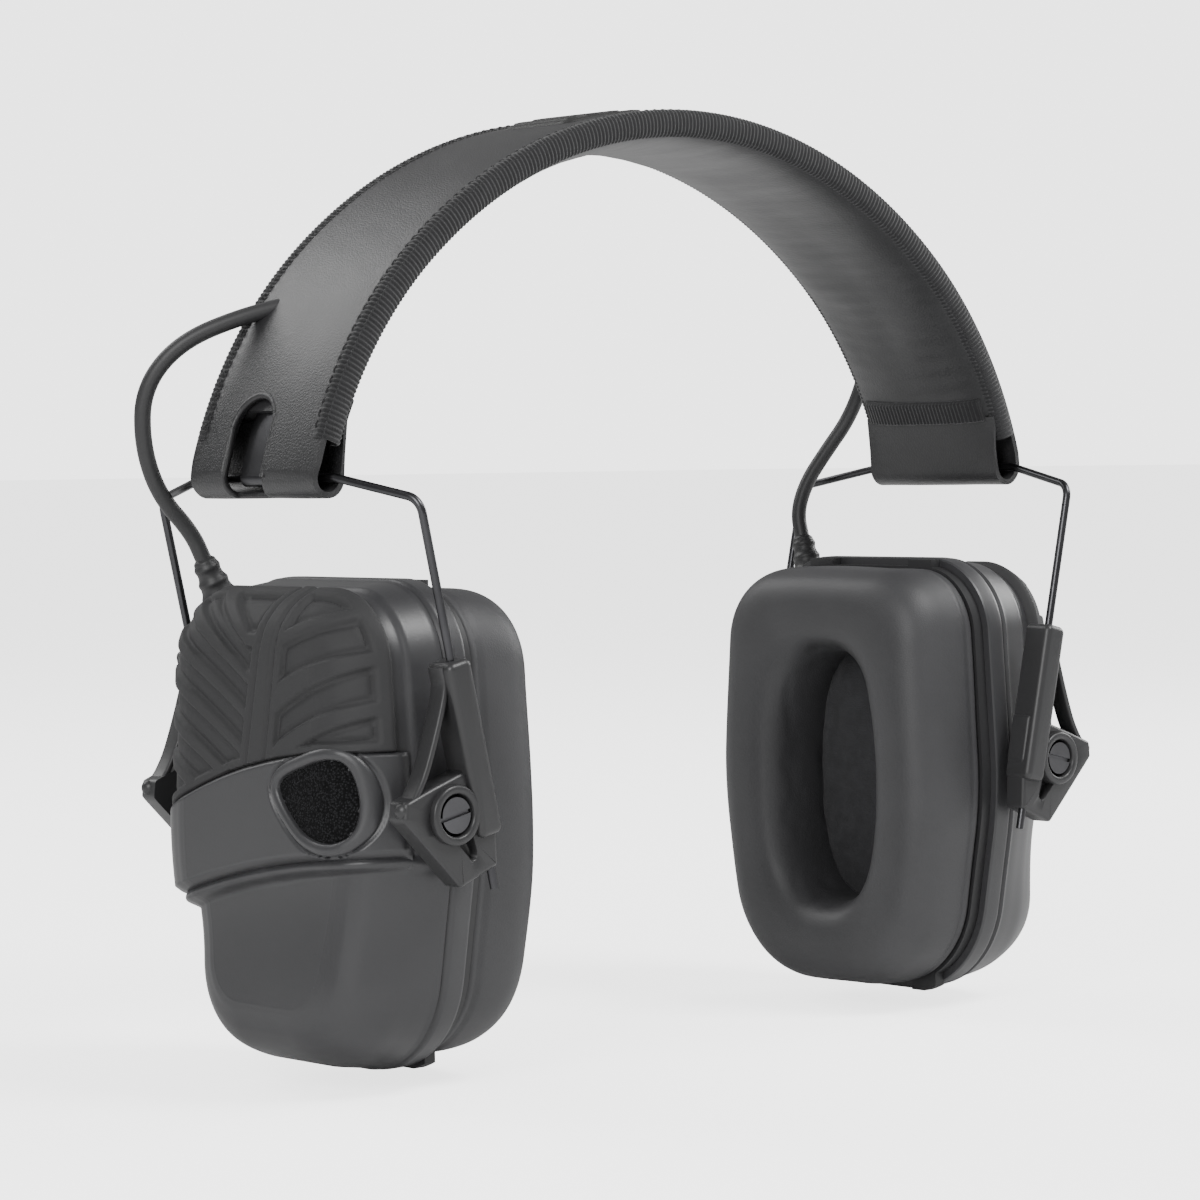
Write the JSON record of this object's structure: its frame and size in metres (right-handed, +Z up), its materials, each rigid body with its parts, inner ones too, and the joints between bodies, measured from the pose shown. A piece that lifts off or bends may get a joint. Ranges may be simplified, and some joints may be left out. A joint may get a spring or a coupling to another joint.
{
  "type": "folding electronic earmuffs",
  "caption": "Over-ear hearing protection with padded leather headband, wire yokes, clip-hung cups with treaded pads, microphones, cushions and a link cord.",
  "frame": {"origin": "underside of the headband's inner pad at the crown, where it rests on the head", "axes": "+Z up, +X towards the cup with the battery bay, -Y to the front"},
  "size_m": [0.2366, 0.0988, 0.2156],
  "materials": {
    "band_leather": "fine-grained satin leatherette",
    "pad_leather": "soft wrinkled leatherette over foam",
    "binding_tape": "ribbed woven tape",
    "crown_rubber": "moulded, matt",
    "spring_steel": "dark spring steel",
    "screw_steel": "black zinc",
    "cable_rubber": "satin jacket",
    "clip_plastic": "moulded nylon",
    "ring_plastic": "moulded",
    "shell_plastic": "satin moulded ABS",
    "knob_plastic": "moulded",
    "cushion_leather": "soft smooth leatherette",
    "liner_foam": "open-cell foam under thin cloth",
    "speaker_plastic": "moulded",
    "tread_rubber": "matt moulded tread",
    "mic_foam": "open-cell wind foam",
    "inner_plastic": "moulded",
    "cell_metal": "plain metal can",
    "contact_metal": "sprung plate",
    "board_green": "circuit board"
  },
  "bodies": {
    "headband": {"headband_cover": "band_leather", "headband_pad": "pad_leather", "front_binding": "binding_tape", "rear_binding": "binding_tape", "crown_strip": "crown_rubber", "band_spring": "spring_steel", "band_cable": "cable_rubber", "left_end_tape": "binding_tape", "right_end_tape": "binding_tape", "left_cable": "cable_rubber", "right_cable": "cable_rubber"},
    "left_yoke": {"left_yoke_wire": "spring_steel"},
    "left_slider": {"left_front_clip": "clip_plastic", "left_rear_clip": "clip_plastic", "left_pivot_screws": "screw_steel"},
    "left_cup": {"left_cup_shell": "shell_plastic", "left_cushion_ring": "ring_plastic", "left_ear_cushion": "cushion_leather", "left_foam_liner": "liner_foam", "left_speaker": "speaker_plastic", "left_tread_pad": "tread_rubber", "left_mic_band": "shell_plastic", "left_mic_ring": "shell_plastic", "left_mic_foam": "mic_foam", "left_microphone": "cell_metal", "left_strain_relief": "cable_rubber", "volume_control": "inner_plastic", "circuit_board": "board_green", "aux_jack": "inner_plastic"},
    "right_yoke": {"right_yoke_wire": "spring_steel"},
    "right_slider": {"right_front_clip": "clip_plastic", "right_rear_clip": "clip_plastic", "right_pivot_screws": "screw_steel"},
    "right_cup": {"right_cup_shell": "shell_plastic", "right_cushion_ring": "ring_plastic", "right_ear_cushion": "cushion_leather", "right_foam_liner": "liner_foam", "right_speaker": "speaker_plastic", "right_tread_pad": "tread_rubber", "right_mic_band": "shell_plastic", "right_mic_ring": "shell_plastic", "right_mic_foam": "mic_foam", "right_microphone": "cell_metal", "right_strain_relief": "cable_rubber", "battery_tray": "inner_plastic", "battery_cells": "cell_metal", "battery_contacts": "contact_metal"},
    "knob": {"volume_knob": "knob_plastic"},
    "door": {"battery_door": "shell_plastic"}
  },
  "joints": [
    {"name": "left_fold", "type": "hinge", "parent": "headband", "child": "left_yoke", "pos_m": [-0.10942, 0, -0.07555], "axis": [0, 1, 0], "range_deg": [-70, 0], "deforming": ["left_cable"]},
    {"name": "left_height", "type": "slide", "parent": "left_yoke", "child": "left_slider", "axis": [-0.2241, 0, 0.9746], "range_m": [0, 0.012], "deforming": ["left_cable"]},
    {"name": "left_tilt", "type": "hinge", "parent": "left_slider", "child": "left_cup", "pos_m": [-0.09749, 0, -0.1474], "axis": [0, 1, 0], "range_deg": [-12, 12], "deforming": ["left_cable"]},
    {"name": "right_fold", "type": "hinge", "parent": "headband", "child": "right_yoke", "pos_m": [0.10942, 0, -0.07555], "axis": [0, 1, 0], "range_deg": [0, 70], "deforming": ["right_cable"]},
    {"name": "right_height", "type": "slide", "parent": "right_yoke", "child": "right_slider", "axis": [0.2241, 0, 0.9746], "range_m": [0, 0.012], "deforming": ["right_cable"]},
    {"name": "right_tilt", "type": "hinge", "parent": "right_slider", "child": "right_cup", "pos_m": [0.09749, 0, -0.1474], "axis": [0, 1, 0], "range_deg": [-12, 12], "deforming": ["right_cable"]},
    {"name": "volume", "type": "hinge", "parent": "left_cup", "child": "knob", "pos_m": [-0.09149, 0, -0.1784], "axis": [0, 1, 0], "range_deg": [0, 270]},
    {"name": "battery_cover", "type": "hinge", "parent": "right_cup", "child": "door", "pos_m": [0.11171, 0, -0.1978], "axis": [0, 1, 0], "range_deg": [0, 80]}
  ]
}
